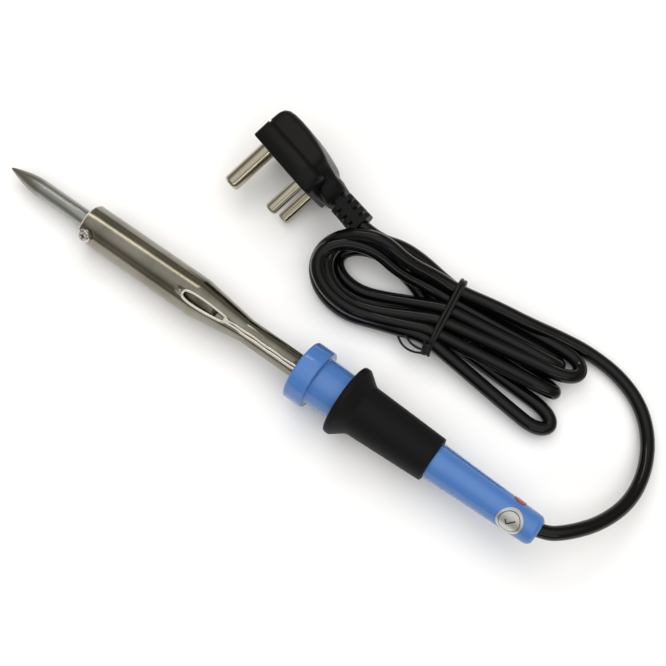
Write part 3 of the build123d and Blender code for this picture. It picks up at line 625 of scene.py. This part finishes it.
# ---- Tie: doubled plastic-coated wire round the hank, twisted to a knot with two tails
TIE = 0.8
tie_pieces = []
tie_section = [
    (66.2, 7.0), (65.2, 11.6), (61.8, 13.6), (57.0, 13.6), (50.0, 13.2), (43.0, 13.2), (38.4, 12.6),
    (35.4, 9.8), (35.6, 5.0), (38.6, 1.2), (46.0, 0.8), (55.0, 0.8), (62.0, 1.0), (65.6, 3.4),
]
for strand, offset in enumerate((-0.74, 0.74)):
    loop = []
    for y, z in tie_section:
        slant = 50.2 + (62.0 - y) * 0.135 + offset * (1 if y > 40 else 0.6)
        loop.append(Vector((slant, y, max(z, TIE + 0.05))) * MM)
    tie_pieces.append(cord_curve(f"tie_wire_{strand + 1}", loop, TIE * MM, tie_black, cyclic=True))
knot = []
KNOT_POINTS, KNOT_STEP, KNOT_PITCH = 44, math.radians(38), 0.115
knot_start, knot_way = Vector((52.6, 36.4, 12.4)), Vector((1.6, -3.6, -3.0)).normalized()
knot_side = knot_way.cross(Vector((0, 0, 1))).normalized()
knot_front = knot_way.cross(knot_side)
for i in range(KNOT_POINTS):
    angle = i * KNOT_STEP
    swing = 1.35 + 0.25 * math.sin(i * 0.7)
    knot.append((knot_start + knot_way * KNOT_PITCH * i
                 + (knot_side * math.cos(angle) + knot_front * math.sin(angle)) * swing) * MM)
tie_pieces.append(cord_curve("tie_knot", knot, 0.62 * MM, tie_black))
for strand, points in enumerate((
    [(54.4, 33.2, 9.4), (52.4, 32.6, 8.4), (49.4, 31.4, 7.2), (46.0, 31.2, 6.4), (43.0, 32.2, 5.8),
     (40.6, 34.0, 5.4)],
    [(54.0, 34.0, 10.0), (51.6, 33.6, 9.2), (48.6, 33.2, 8.6), (45.6, 33.8, 8.4), (43.4, 35.0, 8.6)],
)):
    tail_points = [Vector(p) * MM for p in points]
    tie_pieces.append(cord_curve(f"tie_tail_{strand + 1}", tail_points, 0.45 * MM, tie_black))
for piece in tie_pieces:
    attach(piece, "iron")
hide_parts("hank_tie")

# ---- Floor and soft studio light
floor_material = surface("floor_pale", (0.93, 0.93, 0.93), 0, 0.9, 0.03, 40)
floor = add_mesh("floor", [(-3, -3, -0.0003), (3, -3, -0.0003), (3, 3, -0.0003), (-3, 3, -0.0003)],
                 [(0, 1, 2, 3)], floor_material)

world = bpy.data.worlds.new("studio")
world.use_nodes = True
bpy.context.scene.world = world
nodes, links = world.node_tree.nodes, world.node_tree.links
sky = nodes["Background"]
place = nodes.new("ShaderNodeTexCoord")
split = nodes.new("ShaderNodeSeparateXYZ")
ramp = nodes.new("ShaderNodeValToRGB")
SKY_LEVELS = (  # height above the horizon and colour: pale at the horizon and overhead, dark between
    (0.0, (0.9, 0.9, 0.9)), (0.14, (0.08, 0.07, 0.055)), (0.34, (0.38, 0.36, 0.32)),
    (0.6, (0.17, 0.155, 0.125)), (1.0, (1.0, 1.0, 1.0)),
)
elements = ramp.color_ramp.elements
while len(elements) < len(SKY_LEVELS):
    elements.new(0.5)
for element, (height, level) in zip(elements, SKY_LEVELS):
    element.position = height
    element.color = (*level, 1)
links.new(place.outputs["Generated"], split.inputs["Vector"])
links.new(split.outputs["Z"], ramp.inputs["Fac"])
links.new(ramp.outputs["Color"], sky.inputs["Color"])
sky.inputs["Strength"].default_value = 1.0


def softbox(name, position, size, power, seen=True, colour=(1, 1, 1)):
    """A rectangular lamp aimed at the object. seen says whether glossy surfaces mirror it."""
    data = bpy.data.lights.new(name, "AREA")
    data.shape = "RECTANGLE"
    data.size, data.size_y = size
    data.energy = power
    data.color = colour
    lamp = bpy.data.objects.new(name, data)
    lamp.location = position
    lamp.rotation_mode = "QUATERNION"
    lamp.rotation_quaternion = (Vector(position) - TARGET).to_track_quat("Z", "Y")
    lamp.visible_glossy = seen
    bpy.context.collection.objects.link(lamp)


softbox("overhead_fill", (0.0, 0.1, 1.6), (2.6, 2.6), 27, seen=False)
softbox("key_strip", (-0.62, 0.62, 1.0), (0.9, 0.15), 1.6, colour=(1, 0.95, 0.86))
softbox("side_strip", (0.75, -0.75, 0.8), (0.9, 0.10), 1.2, colour=(1, 0.96, 0.88))
bpy.context.scene.view_settings.view_transform = "Standard"
